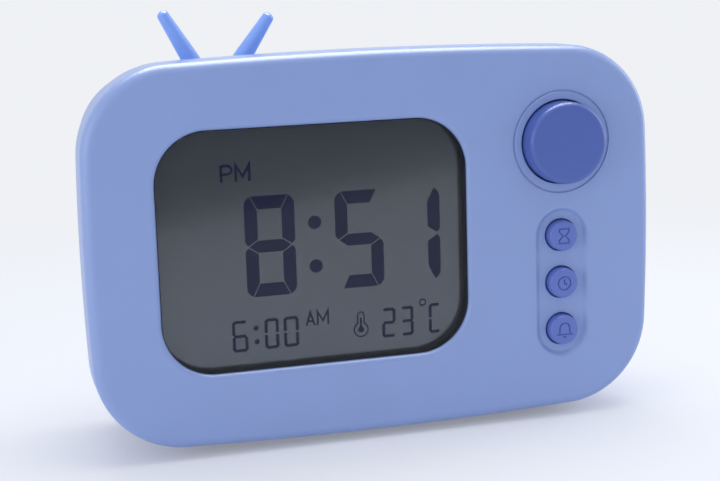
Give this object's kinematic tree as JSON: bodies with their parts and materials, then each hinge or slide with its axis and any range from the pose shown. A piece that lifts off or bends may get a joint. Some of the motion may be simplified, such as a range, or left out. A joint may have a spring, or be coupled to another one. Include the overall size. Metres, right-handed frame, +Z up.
{
  "type": "alarm clock",
  "caption": "Small toy-television desk clock with night light: bowed bezel, dark display window, turn-and-push knob, round keys in a dish and short aerials.",
  "frame": {"origin": "on the table, under the middle of the box round the whole clock", "axes": "+Z up, +Y into the clock from its screen, +X to the right of the screen seen from the front"},
  "size_m": [0.138, 0.0448, 0.1029],
  "materials": {
    "housing": "satin moulded ABS, periwinkle blue",
    "lens": "smoked glossy acrylic",
    "display": "grey reflective liquid crystal panel",
    "inner_frame": "matt dark polystyrene",
    "light_guide": "clear acrylic, printed dots on the back",
    "reflector": "white polyester sheet",
    "rubber_strip": "striped conductive silicone",
    "circuit_board": "green solder mask on fibreglass",
    "chip": "black epoxy",
    "tin_plate": "tin-plated steel",
    "lamp": "white lamp package",
    "screws": "zinc-plated steel",
    "ribbon": "grey flat cable",
    "switch_case": "black moulded plastic",
    "switch_plunger": "white acetal",
    "shaft": "turned aluminium",
    "knob": "satin moulded ABS, deep blue",
    "keys": "satin moulded ABS, mid blue",
    "aerial": "satin moulded ABS, bright blue",
    "feet": "dark grey rubber",
    "wires": "PVC insulated leads",
    "speaker": "black speaker basket and cone",
    "cell": "sleeved dry cell"
  },
  "bodies": {
    "clock": {"front_housing": "housing", "rear_housing": "housing", "screen_lens": "lens", "lcd_panel": "display", "lcd_frame": "inner_frame", "light_guide": "light_guide", "reflector_sheet": "reflector", "zebra_strip": "rubber_strip", "main_board": "circuit_board", "key_board": "circuit_board", "control_chip": "chip", "crystal": "tin_plate", "temperature_sensor": "chip", "night_light_leds": "lamp", "board_screws": "screws", "housing_screws": "screws", "key_ribbon": "ribbon", "tact_switches": "switch_case", "encoder_body": "tin_plate", "rubber_feet": "feet", "battery_contacts": "tin_plate", "battery_springs": "tin_plate", "battery_wires": "wires", "speaker": "speaker", "speaker_wires": "wires", "battery_upper": "cell", "battery_middle": "cell", "battery_lower": "cell", "aerial_left": "aerial", "aerial_right": "aerial"},
    "knob_push": {"encoder_plunger": "switch_plunger"},
    "knob": {"knob": "knob", "encoder_shaft": "shaft"},
    "timer_key": {"timer_button": "keys", "timer_plunger": "switch_plunger"},
    "clock_key": {"clock_button": "keys", "clock_plunger": "switch_plunger"},
    "alarm_key": {"alarm_button": "keys", "alarm_plunger": "switch_plunger"},
    "door": {"battery_door": "housing"}
  },
  "joints": [
    {"name": "knob_press", "type": "slide", "parent": "clock", "child": "knob_push", "axis": [0, 1, 0], "range_m": [0, 0.0015], "stiffness_N_per_m": 1500},
    {"name": "knob_turn", "type": "hinge", "parent": "knob_push", "child": "knob", "pos_m": [0.0456, -0.0176, 0.06855], "axis": [0, -1, 0], "continuous": true},
    {"name": "timer_press", "type": "slide", "parent": "clock", "child": "timer_key", "axis": [0, 1, 0], "range_m": [0, 0.0005], "stiffness_N_per_m": 4000},
    {"name": "clock_press", "type": "slide", "parent": "clock", "child": "clock_key", "axis": [0, 1, 0], "range_m": [0, 0.0005], "stiffness_N_per_m": 4000},
    {"name": "alarm_press", "type": "slide", "parent": "clock", "child": "alarm_key", "axis": [0, 1, 0], "range_m": [0, 0.0005], "stiffness_N_per_m": 4000},
    {"name": "door_hinge", "type": "hinge", "parent": "clock", "child": "door", "pos_m": [0.022, 0.0224, 0.022], "axis": [-1, 0, 0], "range_deg": [0, 75]}
  ]
}
